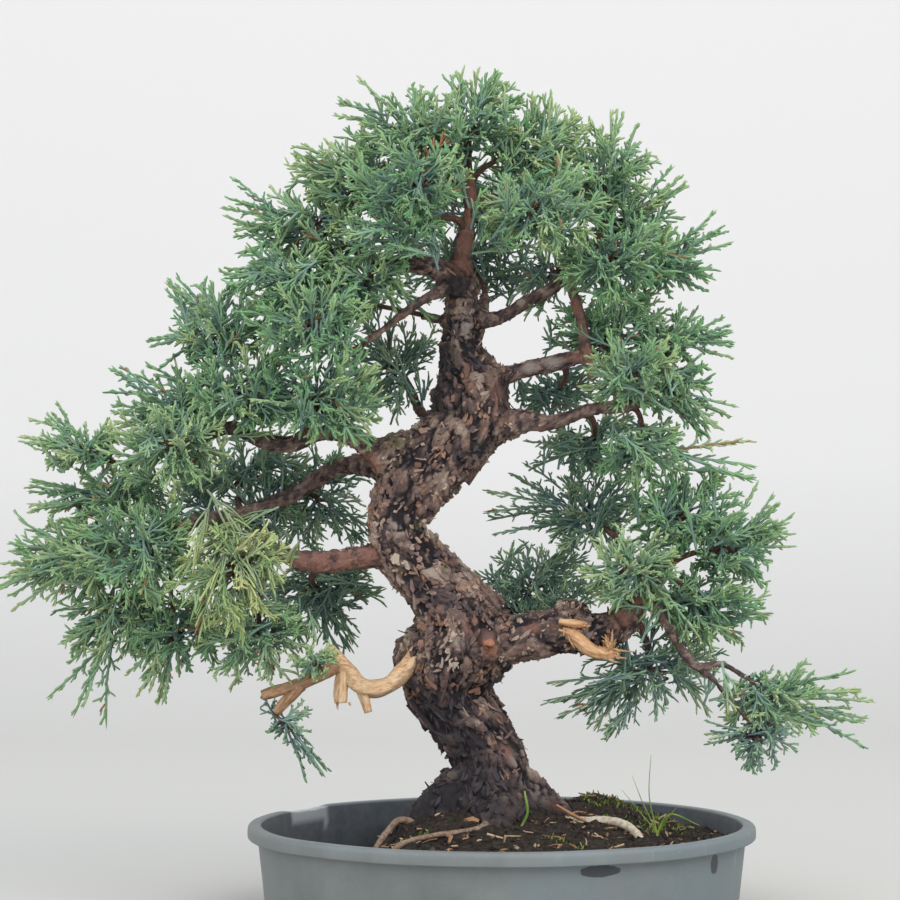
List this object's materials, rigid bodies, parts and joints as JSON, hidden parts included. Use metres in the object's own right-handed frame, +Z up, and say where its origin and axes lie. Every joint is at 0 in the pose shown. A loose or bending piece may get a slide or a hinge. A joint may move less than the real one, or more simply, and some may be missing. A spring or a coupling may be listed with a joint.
{
  "type": "chinese juniper bonsai",
  "caption": "Informal upright juniper bonsai with a curved bare trunk, pads of scale-leaf foliage and stripped dead wood, in a round shallow grey pot.",
  "frame": {"origin": "middle of the pot's underside, on the surface it stands on", "axes": "+Z up, the tree's front with its bare trunk faces -Y, its long low branches reach to -X"},
  "size_m": [0.4495, 0.261, 0.4325],
  "materials": {
    "pot_plastic": "weathered matt grey with pale streaks",
    "soil": "rough dark damp soil",
    "bark": "rough flaky brown bark, with bare pale dead wood on the stripped branches",
    "grass": "soft matt green blade",
    "foliage_green": "satin mid green scale leaves",
    "foliage_shade": "satin dark blue green scale leaves",
    "foliage_young": "satin yellow green young scale leaves"
  },
  "bodies": {
    "root": {"pot": "pot_plastic", "soil": "soil", "wood": "bark", "grass_tuft": "grass", "foliage_crown_left": "foliage_green", "foliage_crown_middle": "foliage_green", "foliage_crown_right": "foliage_green", "foliage_crown_far_right": "foliage_green", "foliage_crown_shoulder": "foliage_green", "foliage_crown_lower_left": "foliage_green", "foliage_crown_front_left": "foliage_green", "foliage_crown_edge_right": "foliage_green", "foliage_crown_front_right": "foliage_green", "foliage_crown_low_right": "foliage_green", "foliage_crown_low_left": "foliage_green", "foliage_crown_tip_right": "foliage_green", "foliage_crown_back_left": "foliage_shade", "foliage_crown_back_right": "foliage_shade", "foliage_crown_back_low": "foliage_shade", "foliage_left_back_high": "foliage_shade", "foliage_left_high_outer": "foliage_green", "foliage_left_high_tip": "foliage_green", "foliage_left_high_front": "foliage_green", "foliage_left_high_inner": "foliage_green", "foliage_left_middle_front": "foliage_green", "foliage_left_middle_outer": "foliage_green", "foliage_left_middle_back": "foliage_shade", "foliage_left_middle_tip": "foliage_green", "foliage_left_low_front": "foliage_green", "foliage_left_low_tip": "foliage_green", "foliage_left_low_outer": "foliage_green", "foliage_left_low_back": "foliage_shade", "foliage_left_low_under": "foliage_shade", "foliage_left_skirt_tip": "foliage_green", "foliage_left_skirt_front": "foliage_green", "foliage_left_skirt_lower": "foliage_green", "foliage_left_skirt_bottom": "foliage_green", "foliage_left_skirt_young": "foliage_young", "foliage_left_skirt_under": "foliage_green", "foliage_left_twig_hanging": "foliage_shade", "foliage_left_skirt_back": "foliage_shade", "foliage_left_skirt_back_high": "foliage_shade", "foliage_left_twig_tuft": "foliage_green", "foliage_right_high": "foliage_green", "foliage_right_high_tip": "foliage_green", "foliage_right_high_front": "foliage_green", "foliage_right_middle_tip": "foliage_green", "foliage_right_middle_back": "foliage_shade", "foliage_right_low_back": "foliage_shade", "foliage_right_low": "foliage_green", "foliage_crown_under_right": "foliage_shade", "foliage_right_skirt_back_high": "foliage_shade", "foliage_right_skirt_high": "foliage_green", "foliage_right_skirt_tip": "foliage_green", "foliage_right_skirt_low": "foliage_green", "foliage_right_skirt_back": "foliage_shade", "foliage_right_skirt_front": "foliage_green", "foliage_right_skirt_under": "foliage_shade", "foliage_right_end": "foliage_green", "foliage_right_end_hanging": "foliage_shade"}
  },
  "joints": []
}
